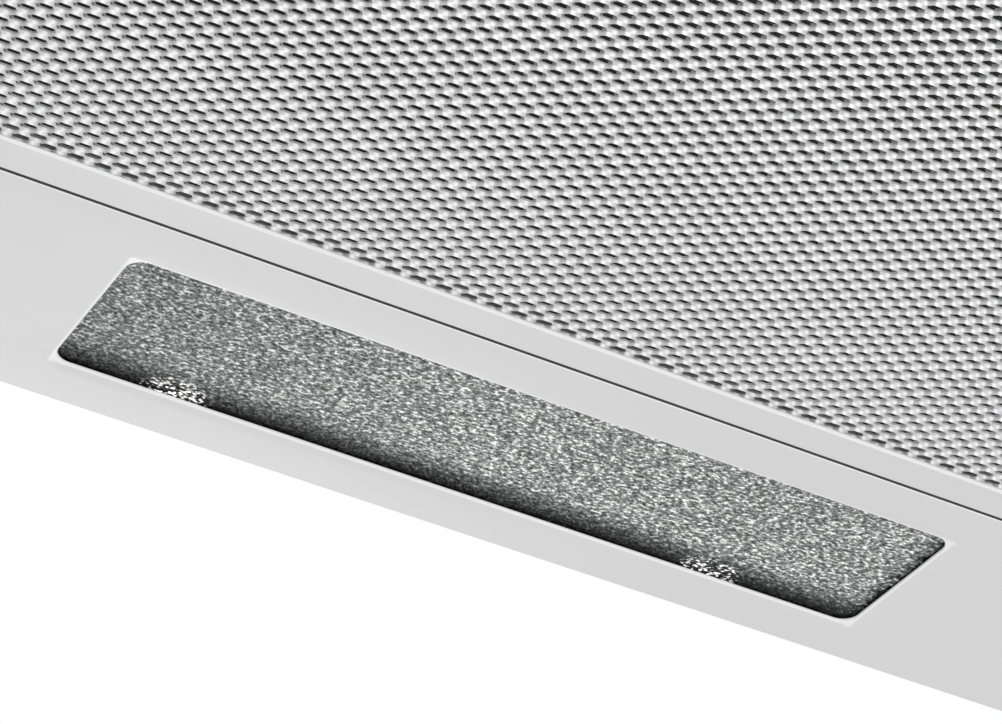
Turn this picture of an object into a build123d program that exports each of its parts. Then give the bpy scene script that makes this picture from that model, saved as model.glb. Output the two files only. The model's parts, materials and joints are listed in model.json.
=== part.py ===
from build123d import *
import os
from math import cos, radians, sin

# Under cabinet range hood, millimetres, +Z up.
# Origin: centre of the four cabinet screws, in the plane of the top face that meets the cabinet.
# +X is to the right of a cook who faces the hood, +Y points at the wall, so the front is at -Y.

# ---- overall ----
hood_width = 759.0
hood_depth = 505.0
hood_height = 140.0
top_depth = 312.0  # flat top, as deep as the cabinet above it
lip_height = 38.0  # upright front face
lip_tuck = 8.0  # top shell behind the lens panel's upright face
sheet = 0.8  # steel of the casing
touch = 0.3  # gap between neighbours that are not fastened to each other

# ---- cabinet screws and duct ----
screw_from_side = 79.5
screw_from_rear = 60.0
screw_from_top_front = 52.0
screw_slot_width = 6.0
screw_slot_length = 16.0
duct_width = 254.0
duct_depth = 82.5
duct_to_wall = 40.0
collar_height = 45.0
collar_wall = 0.6
collar_flange = 14.0

# ---- lens panel ----
lens_length = 300.0
lens_depth = 64.2
lens_corner = 6.0
lens_margin = 21.75  # painted steel in front of and behind the lens
lens_thick = 2.5
lens_lap = 6.0  # lens hidden behind the edge of its opening
tray_gap = 0.5  # the lens is a tray: its upturned wall stands just outside the opening
tray_wall = 2.5
tray_height = 9.6
draw_width = 5.5  # soft pressed border round the opening
draw_rise = 0.9
panel_bend = 1.6
panel_flange = 12.0  # turned up at the seam beside the filter
gasket_height = 1.5
gasket_wall = 2.4
clip_wall = 0.6

# ---- lamp compartment ----
lamp_box_height = 36.0
lamp_box_wall = 0.6
lamp_spacing = 200.0
lamp_radius = 8.5
lamp_length = 5.0
lamp_tilt = 20.0
lamp_from_front = 11.0
lamp_rise = 12.0  # above the underside
dome_radius = 5.0

# ---- filter ----
side_flange = 18.5
rear_flange = 19.0
filter_gap = 1.0
filter_height = 10.0
filter_sheet = 0.8
frame_strip = 13.35
mesh_lap = 4.5
mesh_sheet = 0.4
pivot_inset = 6.0
pivot_radius = 2.0
pivot_clearance = 0.05
bracket_wall = 1.5
latch_from_end = 70.0  # from the filter's end to the latch's middle
latch_length = 30.0
latch_body = 3.0
latch_travel = 4.0
latch_tongue = 4.6

# ---- blower ----
wheel_radius = 43.0
wheel_width = 62.0
wheel_gap = 4.0
blade_count = 30
blade_depth = 8.0
blade_wall = 0.8
blade_angle = 28.0
scroll_growth = 15.0
scroll_width = 84.0
scroll_wall = 0.8
tongue_angle = 20.0
scroll_gap = 40.0  # half of the room between the scrolls, which the motor fills
inlet_radius = 33.0
motor_radius = 32.0
motor_length = 58.0
shaft_radius = 4.0
shaft_clearance = 0.05
blower_drop = 64.0

# ---- controls ----
switch_width = 30.0
switch_height = 21.0
switch_bezel = 2.0
switch_body_depth = 20.0
switch_wall = 1.5
switch_spacing = 44.0
switch_from_end = 90.0
rocker_pin_radius = 1.5
rocker_clearance = 0.05
rocker_gap = 1.2  # at each end, room to tilt
rocker_side_gap = 0.3

# ---- electrical ----
box_length = 112.0
box_to_scroll = 52.7
box_to_wall = 24.0
box_depth = 70.0
box_height = 46.0
knockout_radius = 11.1
bushing_bore = 8.0
harness_radius = 3.0

# ---- derived places ----
half_width = hood_width / 2
screw_x = half_width - screw_from_side
screw_y = (top_depth - screw_from_rear - screw_from_top_front) / 2
rear_y = screw_y + screw_from_rear
front_y = rear_y - hood_depth
bottom_z = -hood_height
lip_top_z = bottom_z + lip_height
top_front_y = rear_y - top_depth
inner_x = half_width - sheet
seam_y = front_y + 2 * lens_margin + lens_depth
lens_y0 = front_y + lens_margin
lens_yc = lens_y0 + lens_depth / 2
duct_y1 = rear_y - duct_to_wall
duct_y0 = duct_y1 - duct_depth


def block(x, y, z):
    """Box between two corners, given as (low, high) for each axis."""
    size = [high - low for low, high in (x, y, z)]
    middle = [(low + high) / 2 for low, high in (x, y, z)]
    return Pos(*middle) * Box(*size)


def rod_x(x, y, z, radius):
    """Cylinder along X from x[0] to x[1]."""
    return Pos((x[0] + x[1]) / 2, y, z) * Rot(0, 90, 0) * Cylinder(radius, x[1] - x[0])


def rod_z(x, y, z, radius):
    """Cylinder along Z from z[0] to z[1]."""
    return Pos(x, y, (z[0] + z[1]) / 2) * Cylinder(radius, z[1] - z[0])


def pillow(x, y, z, corner):
    """Upright prism with a round-cornered rectangular outline."""
    outline = RectangleRounded(x[1] - x[0], y[1] - y[0], corner)
    return extrude(Pos((x[0] + x[1]) / 2, (y[0] + y[1]) / 2, z[0]) * outline, z[1] - z[0])


def bent_sheet(points, radii, thick, x):
    """Sheet bent along (y, z) points and carried along X; its thickness lies left of the path."""
    path = FilletPolyline(*points, radius=radii)
    face = make_face(offset(path, thick, side=Side.LEFT))
    return extrude(Plane.YZ.offset(x[0]) * face, x[1] - x[0])


def yz_prism(points, x):
    """Prism with a polygon outline in (y, z), from x[0] to x[1]."""
    return extrude(Plane.YZ.offset(x[0]) * make_face(Polyline(*points, close=True)), x[1] - x[0])


def mirrored(solid):
    """The same piece on the other side of the hood's middle plane."""
    return mirror(solid, Plane.YZ)


def group(solids):
    """Separate identical solids kept together in one node."""
    return Compound([one.solid() for one in solids])


def screw(x, y, z, direction, shank_radius=1.9, length=8.0, head_radius=3.8, head=2.2):
    """Pan-head screw: head on the far side of the face at (x, y, z), shank along direction."""
    body = Pos(0, 0, -length / 2) * Cylinder(shank_radius, length)
    cap = Pos(0, 0, head / 2) * Cylinder(head_radius, head)
    cap = fillet(cap.edges().sort_by(Axis.Z)[-1], head * 0.45)
    slot = Pos(0, 0, head) * (Box(head_radius, 0.9, head) + Box(0.9, head_radius, head))
    place = Plane(origin=(x, y, z), z_dir=tuple(-c for c in direction))
    return place * (body + cap - slot)


nodes = {}

# ======== casing ========
shell_path = [
    (rear_y, 0),
    (top_front_y, 0),
    (front_y + sheet, lip_top_z),
    (front_y + sheet, lip_top_z - lip_tuck),
]
shell = bent_sheet(shell_path, [2.4, 2.4], sheet, (-half_width, half_width))
shell -= block((-duct_width / 2, duct_width / 2), (duct_y0, duct_y1), (-sheet, 0))
slot_outline = SlotOverall(screw_slot_length, screw_slot_width)
for sx in (-1, 1):
    for sy in (-1, 1):
        place = Pos(sx * screw_x, sy * screw_y, -sheet)
        shell -= place * extrude(slot_outline, sheet)

# wiring box stands under the top face, in the right rear corner
box_x0 = scroll_gap + scroll_width + box_to_scroll
box_x1 = box_x0 + box_length
box_y1 = rear_y - box_to_wall
box_y0 = box_y1 - box_depth
box_z1 = -sheet
box_z0 = box_z1 - box_height
knockout_x = (box_x0 + box_x1) / 2
knockout_y = (box_y0 + box_y1) / 2
shell -= rod_z(knockout_x, knockout_y, (-sheet, 0), knockout_radius)
nodes["top_shell"] = shell

side_outline = [
    (rear_y, 0),
    (top_front_y, 0),
    (front_y, lip_top_z),
    (front_y, bottom_z),
    (rear_y, bottom_z),
]
side = yz_prism(side_outline, (inner_x, half_width)) - shell
side = max(side.solids(), key=lambda piece: piece.volume)
floor_z = (bottom_z, bottom_z + sheet)  # flanges turned in at the foot of the walls
side += block((half_width - side_flange, inner_x), (seam_y + touch, rear_y - sheet), floor_z)
side += block((half_width - 13, inner_x), (top_front_y + 4, rear_y - 13), (-2 * sheet, -sheet))
nodes["side_wall_right"] = side
nodes["side_wall_left"] = mirrored(side)

# rear wall with its duct opening, closed by a cover plate when the hood blows upwards
rear_cut_z1 = -14.0
rear_cut_z0 = rear_cut_z1 - duct_depth
rear = block((-inner_x, inner_x), (rear_y - sheet, rear_y), (bottom_z, -sheet))
flange_x = half_width - side_flange - touch
rear += block((-flange_x, flange_x), (rear_y - rear_flange, rear_y), (bottom_z, bottom_z + sheet))
rear += block((-flange_x, flange_x), (rear_y - 12, rear_y), (-2 * sheet, -sheet))
rear -= block((-duct_width / 2, duct_width / 2), (rear_y - sheet, rear_y), (rear_cut_z0, rear_cut_z1))
nodes["rear_wall"] = rear

cover_lap = 9.0
cover_y = rear_y - 2 * sheet
cover_x = duct_width / 2 + cover_lap
cover_z = (rear_cut_z0 - cover_lap, rear_cut_z1 + cover_lap)
cover = block((-cover_x, cover_x), (cover_y, rear_y - sheet), cover_z)
for bead_z in (0.3, 0.7):
    z = rear_cut_z0 + bead_z * duct_depth
    cover += block((-duct_width / 2 + 10, duct_width / 2 - 10), (cover_y - 1.2, cover_y), (z - 3, z + 3))
nodes["rear_duct_cover"] = cover

# ======== lens panel: front lip and front part of the underside in one bent sheet ========
panel_path = [
    (front_y, lip_top_z),
    (front_y, bottom_z),
    (seam_y, bottom_z),
    (seam_y, bottom_z + panel_flange),
]
panel = bent_sheet(panel_path, [panel_bend, panel_bend], sheet, (-inner_x, inner_x))


def lens_outline(grow):
    """Lens opening's outline, grown by a margin on every side."""
    return RectangleRounded(lens_length + 2 * grow, lens_depth + 2 * grow, lens_corner + grow)


def lens_prism(grow, z0, z1):
    """Upright prism on the lens opening's outline."""
    return extrude(Pos(0, lens_yc, z0) * lens_outline(grow), z1 - z0)


draw_low = Pos(0, lens_yc, bottom_z) * lens_outline(draw_width)
draw_high = Pos(0, lens_yc, bottom_z + draw_rise) * lens_outline(0)
draw_space = loft([draw_low, draw_high])
draw_ring = lens_prism(draw_width, bottom_z, bottom_z + sheet) + Pos(0, 0, sheet) * draw_space
draw_ring = draw_ring - draw_space - lens_prism(0, bottom_z, bottom_z + 5)
panel = panel - lens_prism(draw_width, bottom_z, bottom_z + sheet) + draw_ring

pane_z0 = bottom_z + draw_rise + sheet
pane_z1 = pane_z0 + lens_thick
tray = lens_prism(tray_gap + tray_wall, pane_z1, pane_z0 + tray_height)
tray -= lens_prism(tray_gap, pane_z1, pane_z0 + tray_height)
nodes["lamp_lens"] = lens_prism(lens_lap, pane_z0, pane_z1) + tray
gasket_z1 = pane_z1 + gasket_height
gasket = lens_prism(lens_lap, pane_z1, gasket_z1) - lens_prism(lens_lap - gasket_wall, pane_z1, gasket_z1)
nodes["lens_gasket"] = gasket

panel_back = bottom_z + sheet
clip_reach = gasket_wall - 0.4
clip_path = [(4.4, panel_back), (0.4, panel_back), (0.4, gasket_z1), (-clip_reach, gasket_z1)]
clip_face = make_face(offset(FilletPolyline(*clip_path, radius=[0.3, 0.3]), clip_wall, side=Side.RIGHT))
clip_half = 5.0
lens_clips = []
lens_edge_y = lens_yc + lens_depth / 2 + lens_lap
for x in (-lens_length / 4, lens_length / 4):
    face = Plane(origin=(x - clip_half, lens_edge_y, 0), x_dir=(0, 1, 0), z_dir=(1, 0, 0)) * clip_face
    lens_clips.append(extrude(face, 2 * clip_half))
for sx in (-1, 1):
    corner = (sx * (lens_length / 2 + lens_lap), lens_yc + sx * clip_half, 0)
    face = Plane(origin=corner, x_dir=(sx, 0, 0), z_dir=(0, -sx, 0)) * clip_face
    lens_clips.append(extrude(face, 2 * clip_half))
nodes["lens_clips"] = group(lens_clips)

# ======== lamp compartment on the panel's back ========
lamp_x = lens_length / 2 + 15
lamp_y0 = front_y + 4
lamp_y1 = lens_y0 + lens_depth + lens_lap + 6
lamp_z0 = bottom_z + sheet
lamp_z1 = lamp_z0 + lamp_box_height
slant = lamp_box_height * 0.5


def lamp_outline(inset):
    """Cross-section of the lamp box, with a slanted rear wall."""
    return [
        (lamp_y0 + inset, lamp_z0),
        (lamp_y1 - inset, lamp_z0),
        (lamp_y1 - inset, lamp_z1 - slant),
        (lamp_y1 - inset - slant, lamp_z1 - inset),
        (lamp_y0 + inset, lamp_z1 - inset),
    ]


lamp_box = yz_prism(lamp_outline(0), (-lamp_x, lamp_x))
lamp_box -= yz_prism(lamp_outline(lamp_box_wall), (-lamp_x + lamp_box_wall, lamp_x - lamp_box_wall))
lamp_flange_x = lamp_x + 14
foot = block((-lamp_flange_x, lamp_flange_x), (lamp_y0, lamp_y1), (lamp_z0, lamp_z0 + lamp_box_wall))
foot -= block((-lamp_x, lamp_x), (lamp_y0, lamp_y1), (lamp_z0, lamp_z1))
stud_places = [(sx * (lamp_x + 7), y) for sx in (-1, 1) for y in (lamp_y0 + 16, lamp_y1 - 16)]
stud_radius = 2.0
for x, y in stud_places:
    foot -= rod_z(x, y, (lamp_z0, lamp_z0 + lamp_box_wall), stud_radius + 0.3)
lamp_box = lamp_box + foot
nodes["lamp_box"] = lamp_box

nut_height = 3.2
studs = []
nuts = []
for x, y in stud_places:
    studs.append(rod_z(x, y, (lamp_z0, lamp_z0 + 8), stud_radius))
    nut = extrude(Pos(x, y, lamp_z0 + lamp_box_wall) * RegularPolygon(4.0, 6), nut_height)
    nuts.append(nut - rod_z(x, y, (lamp_z0, lamp_z0 + 8), stud_radius + shaft_clearance))
nodes["lamp_box_nuts"] = group(nuts)
nodes["lamp_box_studs"] = group(studs)

# two lamp modules on a slanted rail behind the front edge of the lens
aim_y = cos(radians(lamp_tilt))
aim_z = -sin(radians(lamp_tilt))
lamp_yc = front_y + lamp_from_front
lamp_zc = bottom_z + lamp_rise
rail_wall = 0.8
back_y = lamp_yc - aim_y * lamp_length / 2
back_z = lamp_zc - aim_z * lamp_length / 2
rail_ceiling = lamp_z1 - lamp_box_wall - rail_wall
rail_low = (back_y + aim_z * 8, back_z - aim_y * 8)
rail_high = (back_y - aim_z * 12, back_z + aim_y * 12)
rail_path = [rail_low, rail_high, (rail_high[0], rail_ceiling), (rail_high[0] + 12, rail_ceiling)]
rail_x = lamp_spacing / 2 + lamp_radius + 18
nodes["lamp_rail"] = bent_sheet(rail_path, [1.2, 1.2], rail_wall, (-rail_x, rail_x))

for name, sx in (("left", -1), ("right", 1)):
    seat = Plane(origin=(sx * lamp_spacing / 2, back_y, back_z), z_dir=(0, aim_y, aim_z), x_dir=(1, 0, 0))
    body = Pos(0, 0, lamp_length / 2) * Cylinder(lamp_radius, lamp_length)
    for turn in range(12):
        fin_cut = Pos(lamp_radius, 0, lamp_length / 2) * Box(2.4, 1.2, lamp_length)
        body -= Rot(0, 0, turn * 30) * fin_cut
    nodes["lamp_module_" + name] = seat * body
    ball = Pos(0, 0, lamp_length) * Sphere(dome_radius)
    half_size = 2 * dome_radius
    half_space = Pos(0, 0, lamp_length + dome_radius) * Box(2 * half_size, 2 * half_size, half_size)
    nodes["lamp_dome_" + name] = seat * (ball & half_space)

# ======== filter ========
frame_x = half_width - side_flange - filter_gap
frame_y0 = seam_y + filter_gap
frame_y1 = rear_y - rear_flange - filter_gap
frame_z0 = bottom_z
frame_z1 = bottom_z + filter_height
pivot_y = frame_y1 - pivot_inset
pivot_z = frame_z0 + filter_height / 2


def frame_prism(inset, z0, z1, corner):
    """Upright prism on the filter's outline, drawn in by an inset."""
    x = frame_x - inset
    return pillow((-x, x), (frame_y0 + inset, frame_y1 - inset), (z0, z1), corner)


filter_frame = frame_prism(0, frame_z0, frame_z1, 8)
filter_frame -= frame_prism(filter_sheet, frame_z0 + filter_sheet, frame_z1 - filter_sheet, 7.2)
filter_frame -= frame_prism(frame_strip, frame_z0, frame_z1, 4)

mesh_names = ("mesh_outer", "mesh_second", "mesh_third", "mesh_inner")
mesh_pitch = (filter_height - 2 * filter_sheet - mesh_sheet) / (len(mesh_names) - 1)
for number, name in enumerate(mesh_names):
    z = frame_z0 + filter_sheet + number * mesh_pitch
    nodes["filter_" + name] = frame_prism(frame_strip - mesh_lap, z, z + mesh_sheet, 3)

# latch: finger tab below, tongue through the front wall and over the lens panel's flange
latch_y0 = frame_y0 + filter_sheet + touch
latch_y1 = latch_y0 + latch_body
latch_z0 = frame_z0 + filter_sheet + touch
latch_z1 = frame_z1 - filter_sheet - touch
tongue_z = (frame_z0 + 3.5, frame_z0 + 7.0)
tab_drop = 2.5
spring_wall = 0.4
for name, sx in (("left", -1), ("right", 1)):
    x = sx * (frame_x - latch_from_end)
    latch = block((x - latch_length / 2, x + latch_length / 2), (latch_y0, latch_y1), (latch_z0, latch_z1))
    latch += block((x - 7, x + 7), (latch_y0 - latch_tongue, latch_y0), tongue_z)
    tab = block((x - 12, x + 12), (latch_y0 + 0.4, latch_y1 - 0.2), (frame_z0 - tab_drop, latch_z0))
    latch += fillet(tab.edges().filter_by(Axis.X).group_by(Axis.Z)[0], 0.8)
    nodes["filter_latch_" + name] = latch
    slot_y = (latch_y0 + 0.1, latch_y1 + latch_travel + 0.1)
    filter_frame -= block((x - 12.5, x + 12.5), slot_y, (frame_z0, frame_z0 + filter_sheet))
    window = (tongue_z[0] - touch, tongue_z[1] + touch)
    filter_frame -= block((x - 7.5, x + 7.5), (frame_y0, frame_y0 + filter_sheet), window)
    panel -= block((x - 8, x + 8), (seam_y - sheet, seam_y), window)
    spring_y0 = latch_y1 + 0.2
    spring_y1 = frame_y0 + frame_strip - mesh_lap - spring_wall - 0.3
    zigzag = [(x + step * 5.0, spring_y1 if step % 2 else spring_y0) for step in range(-2, 3)]
    strip = make_face(offset(FilletPolyline(*zigzag, radius=[0.8] * 3), spring_wall, side=Side.LEFT))
    spring = extrude(Pos(0, 0, latch_z0 + 1) * strip, latch_z1 - latch_z0 - 2)
    nodes["latch_spring_" + name] = spring

pins = []
for sx in (-1, 1):
    ends = sorted((sx * (frame_x - 7), sx * (frame_x + filter_gap + 5)))
    pins.append(rod_x(ends, pivot_y, pivot_z, pivot_radius))
    filter_frame -= rod_x(ends, pivot_y, pivot_z, pivot_radius)
nodes["filter_pivot_pins"] = group(pins)
nodes["filter_frame"] = filter_frame

bracket_x = half_width - side_flange + 1.0
bracket_top = pivot_z + 6.5
foot_z = bottom_z + sheet
bracket = block((bracket_x, bracket_x + bracket_wall), (pivot_y - 8, pivot_y + 8), (foot_z, bracket_top))
foot_end = bracket_x + bracket_wall + 10
bracket += block((bracket_x, foot_end), (pivot_y - 8, pivot_y + 8), (foot_z, foot_z + bracket_wall))
hole = (bracket_x, bracket_x + bracket_wall)
bracket -= rod_x(hole, pivot_y, pivot_z, pivot_radius + pivot_clearance)
nodes["pivot_bracket_right"] = bracket
nodes["pivot_bracket_left"] = mirrored(bracket)

# ======== blower: two scrolls either side of one motor ========
blower_z = -blower_drop
scroll_small = wheel_radius + wheel_gap
scroll_large = scroll_small + scroll_growth
blower_y = duct_y1 - 4 - scroll_large
outlet_top = -sheet - 0.8
outlet_flange = 11.0


def scroll_face(inset):
    """Scroll outline in (y, z): a spiral from the tongue, round the bottom, up the rear wall."""
    steps = 10
    curve = []
    for step in range(steps + 1):
        share = step / steps
        angle = radians(tongue_angle + share * (270 - tongue_angle))
        reach = scroll_small + share * (scroll_large - scroll_small) - inset
        curve.append((blower_y - reach * sin(angle), blower_z + reach * cos(angle)))
    front_edge = blower_y - scroll_small * sin(radians(tongue_angle)) + inset
    mouth = [curve[-1], (curve[-1][0], outlet_top), (front_edge, outlet_top), curve[0]]
    if inset > 0:
        mouth.insert(3, (front_edge, curve[0][1]))
    return make_face(Spline(*curve) + Polyline(*mouth))


def scroll_housing(x0, x1):
    """Hollow scroll between two side plates, open at the top, with a rim under the top shell."""
    housing = extrude(Plane.YZ.offset(x0) * scroll_face(0), x1 - x0)
    hollow_x0 = x0 + scroll_wall
    housing -= extrude(Plane.YZ.offset(hollow_x0) * scroll_face(scroll_wall), x1 - x0 - 2 * scroll_wall)
    y0 = blower_y - scroll_small * sin(radians(tongue_angle))
    y1 = blower_y + scroll_large
    rim = block((x0, x1), (duct_y0 - outlet_flange, duct_y1 + outlet_flange), (outlet_top, -sheet))
    rim -= block((hollow_x0, x1 - scroll_wall), (y0 + scroll_wall, y1 - scroll_wall), (outlet_top, -sheet))
    return housing + rim


hub_hole = 16.0
for name, sx in (("left", -1), ("right", 1)):
    ends = sorted((sx * scroll_gap, sx * (scroll_gap + scroll_width)))
    inner_face = sx * scroll_gap
    outer_face = sx * (scroll_gap + scroll_width)
    housing = scroll_housing(*ends)
    outer_wall = sorted((outer_face, outer_face - sx * scroll_wall))
    inner_wall = sorted((inner_face, inner_face + sx * scroll_wall))
    housing -= rod_x(outer_wall, blower_y, blower_z, inlet_radius + 3)
    housing -= rod_x(inner_wall, blower_y, blower_z, hub_hole)
    nodes["scroll_" + name] = housing
    lip = Pos(0, 0, 0) * Cylinder(inlet_radius + 8, 1.0)
    lip += Pos(0, 0, -2.5) * Cylinder(inlet_radius + 2.7, 4.0)
    lip -= Cylinder(inlet_radius, 20)
    lip = fillet(lip.edges().filter_by(GeomType.CIRCLE).group_by(Axis.Z)[-1].sort_by(SortBy.RADIUS)[0], 0.8)
    seat = Plane(origin=(outer_face + sx * 0.5, blower_y, blower_z), z_dir=(sx, 0, 0))
    nodes["inlet_ring_" + name] = seat * lip

shaft_end = scroll_gap + scroll_width * 0.5
nodes["motor_shaft"] = rod_x((-shaft_end, shaft_end), blower_y, blower_z, shaft_radius)
motor = rod_x((-motor_length / 2, motor_length / 2), blower_y, blower_z, motor_radius)
motor = fillet(motor.edges().filter_by(GeomType.CIRCLE), 3)
boss_radius = 11.0
bush_length = 6.0
for sx in (-1, 1):
    ends = sorted((sx * motor_length / 2, sx * (motor_length / 2 + 5)))
    motor += rod_x(ends, blower_y, blower_z, boss_radius)
bush_radius = 7.0
motor_end = motor_length / 2 + 5
motor -= rod_x((-motor_end, motor_end), blower_y, blower_z, bush_radius)
nodes["motor_body"] = motor
bushes = []
for sx in (-1, 1):
    ends = sorted((sx * motor_end, sx * (motor_end - bush_length)))
    bush = rod_x(ends, blower_y, blower_z, bush_radius)
    bushes.append(bush - rod_x(ends, blower_y, blower_z, shaft_radius + shaft_clearance))
nodes["motor_bushes"] = group(bushes)
rotor_core = rod_x((-motor_length / 2 + 8, motor_length / 2 - 8), blower_y, blower_z, bush_radius - 0.4)
nodes["motor_rotor"] = rotor_core - rod_x((-motor_length, motor_length), blower_y, blower_z, shaft_radius)

band_width = 26.0
band_wall = 1.5
band_radius = motor_radius + band_wall
holder = rod_x((-band_width / 2, band_width / 2), blower_y, blower_z, band_radius)
for angle in (45, 135, 225, 315):
    arm = Pos(0, 0, motor_radius + 5) * Box(2 * scroll_gap, 14, 2)
    arm += Pos(0, 0, motor_radius + 2.5) * Box(band_width, 14, 5)
    for sx in (-1, 1):
        arm += Pos(sx * (scroll_gap - 0.75), 0, motor_radius + 2) * Box(1.5, 14, 8)
    holder += Pos(0, blower_y, blower_z) * Rot(angle, 0, 0) * arm
holder -= rod_x((-scroll_gap, scroll_gap), blower_y, blower_z, motor_radius)
nodes["motor_holder"] = holder

hub_plate = 1.2
rim_width = 2.0
wheel_root = scroll_gap + (scroll_width - wheel_width) / 2
blade_ring = wheel_radius - blade_depth / 2 - 0.6
for name, sx in (("left", -1), ("right", 1)):
    blade_span = wheel_width - rim_width
    turns = [n * 360 / blade_count for n in range(blade_count)]
    blades = [Rot(0, 0, turn) * Pos(blade_ring, 0) * Rot(0, 0, blade_angle) for turn in turns]
    blade_sketch = Sketch() + [place * Rectangle(blade_depth, blade_wall) for place in blades]
    wheel = extrude(blade_sketch, blade_span)
    wheel += extrude(Circle(wheel_radius), hub_plate)
    rim = Circle(wheel_radius) - Circle(wheel_radius - blade_depth - 1)
    wheel += Pos(0, 0, blade_span) * extrude(rim, rim_width)
    wheel += extrude(Circle(9), 15)
    wheel -= extrude(Circle(shaft_radius), 15)
    seat = Plane(origin=(sx * wheel_root, blower_y, blower_z), z_dir=(sx, 0, 0))
    nodes["blower_wheel_" + name] = seat * wheel

closing = block((-scroll_gap + touch, scroll_gap - touch), (duct_y0 - 6, duct_y1 + 6), (outlet_top, -sheet))
for sx in (-1, 1):
    ends = sorted((sx * (scroll_gap - touch), sx * (scroll_gap - touch - 0.8)))
    closing += block(ends, (duct_y0 + 4, duct_y1 - 4), (outlet_top - 8, outlet_top))
nodes["blower_closing_plate"] = closing

# ======== duct connector and its damper ========
collar_x = duct_width / 2
collar = block((-collar_x, collar_x), (duct_y0, duct_y1), (0, collar_height))
collar += block(
    (-collar_x - collar_flange, collar_x + collar_flange),
    (duct_y0 - collar_flange, duct_y1 + collar_flange),
    (0, collar_wall),
)
collar_hole_x = collar_x - collar_wall
collar_hole_y = (duct_y0 + collar_wall, duct_y1 - collar_wall)
collar -= block((-collar_hole_x, collar_hole_x), collar_hole_y, (0, collar_height))
rod_radius = 2.0
damper_y = duct_y0 + 7
damper_z = 9.0
collar -= rod_x((-collar_x, collar_x), damper_y, damper_z, rod_radius + pivot_clearance)
stop_z1 = damper_z - rod_radius - 0.5
stop_y = (duct_y1 - 6, duct_y1 - collar_wall)
collar += block((-collar_hole_x, collar_hole_x), stop_y, (stop_z1 - 0.8, stop_z1))
connector_places = [
    (sx * (collar_x - 20), y)
    for sx in (-1, 1)
    for y in (duct_y0 - collar_flange / 2, duct_y1 + collar_flange / 2)
]
for x, y in connector_places:
    collar -= rod_z(x, y, (0, collar_wall), 2.2)
nodes["duct_connector"] = collar
nodes["damper_rod"] = rod_x((-collar_x - 3, collar_x + 3), damper_y, damper_z, rod_radius)
flap_x = collar_hole_x - 1.5
flap_z = damper_z - rod_radius
flap = block((-flap_x, flap_x), (damper_y, duct_y1 - 2.5), (flap_z - 0.2, flap_z + 0.5))
for sx in (-0.8, -0.3, 0.3, 0.8):
    flap += rod_x((sx * flap_x - 14, sx * flap_x + 14), damper_y, damper_z, rod_radius + 0.9)
flap -= rod_x((-collar_x, collar_x), damper_y, damper_z, rod_radius)
for sx in (-0.5, 0.5):
    flap += block(
        (sx * flap_x - 1, sx * flap_x + 1),
        (damper_y + rod_radius + 2, duct_y1 - 8),
        (damper_z - rod_radius + 0.5, damper_z),
    )
nodes["damper_flap"] = flap

connector_screws = []
for x, y in connector_places:
    connector_screws.append(screw(x, y, collar_wall, (0, 0, -1), 1.7, collar_wall + sheet + 0.8 + 4))
    for key in ("top_shell", "scroll_left", "scroll_right"):
        nodes[key] -= rod_z(x, y, (-sheet - 6, 0), 1.7)
nodes["connector_screws"] = group(connector_screws)

# ======== controls in the front lip ========
switch_z = (bottom_z + lip_top_z) / 2
switch_x1 = inner_x - switch_from_end
switch_places = {"fan": switch_x1 - switch_spacing, "light": switch_x1}
cut_x = switch_width / 2 - 2
cut_z = switch_height / 2 - 2
pins = []
for name, x in switch_places.items():
    panel -= block((x - cut_x, x + cut_x), (front_y, front_y + sheet), (switch_z - cut_z, switch_z + cut_z))
    bezel = block(
        (x - switch_width / 2, x + switch_width / 2),
        (front_y - switch_bezel, front_y),
        (switch_z - switch_height / 2, switch_z + switch_height / 2),
    )
    bezel = fillet(bezel.edges().filter_by(Axis.Y), 2)
    bezel = fillet(bezel.faces().sort_by(Axis.Y)[0].edges(), 0.7)
    body_x = cut_x - 0.2
    body_z = cut_z - 0.2
    case = bezel + block(
        (x - body_x, x + body_x),
        (front_y, front_y + switch_body_depth),
        (switch_z - body_z, switch_z + body_z),
    )
    well_x = body_x - switch_wall
    well_z = body_z - switch_wall
    well_floor = front_y + switch_body_depth - switch_wall
    case -= block(
        (x - well_x, x + well_x),
        (front_y - switch_bezel, well_floor),
        (switch_z - well_z, switch_z + well_z),
    )
    blade_y1 = front_y + switch_body_depth + 7
    for step in (-1, 0, 1):
        case += block(
            (x + step * 7 - 0.4, x + step * 7 + 0.4),
            (well_floor, blade_y1),
            (switch_z - 2.4, switch_z + 2.4),
        )
    pivot_at = front_y + 3.0
    pin_z = (switch_z - body_z, switch_z + body_z)
    case -= rod_z(x, pivot_at, pin_z, rocker_pin_radius)
    nodes[name + "_switch_case"] = case
    pins.append(rod_z(x, pivot_at, pin_z, rocker_pin_radius))
    half = well_x - rocker_gap
    rocker_outline = Polyline(
        (x - half, front_y - 5.0),
        (x, front_y - 3.4),
        (x + half, front_y - 5.0),
        (x + half - 1.4, front_y + 3.0),
        (x + 3, front_y + 8.0),
        (x - 3, front_y + 8.0),
        (x - half + 1.4, front_y + 3.0),
        close=True,
    )
    rocker_z0 = switch_z - well_z + rocker_side_gap
    rocker = extrude(Pos(0, 0, rocker_z0) * make_face(rocker_outline), 2 * (well_z - rocker_side_gap))
    rocker -= rod_z(x, pivot_at, pin_z, rocker_pin_radius + rocker_clearance)
    nodes[name + "_rocker"] = rocker
nodes["rocker_pins"] = group(pins)
nodes["lens_panel"] = panel

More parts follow.
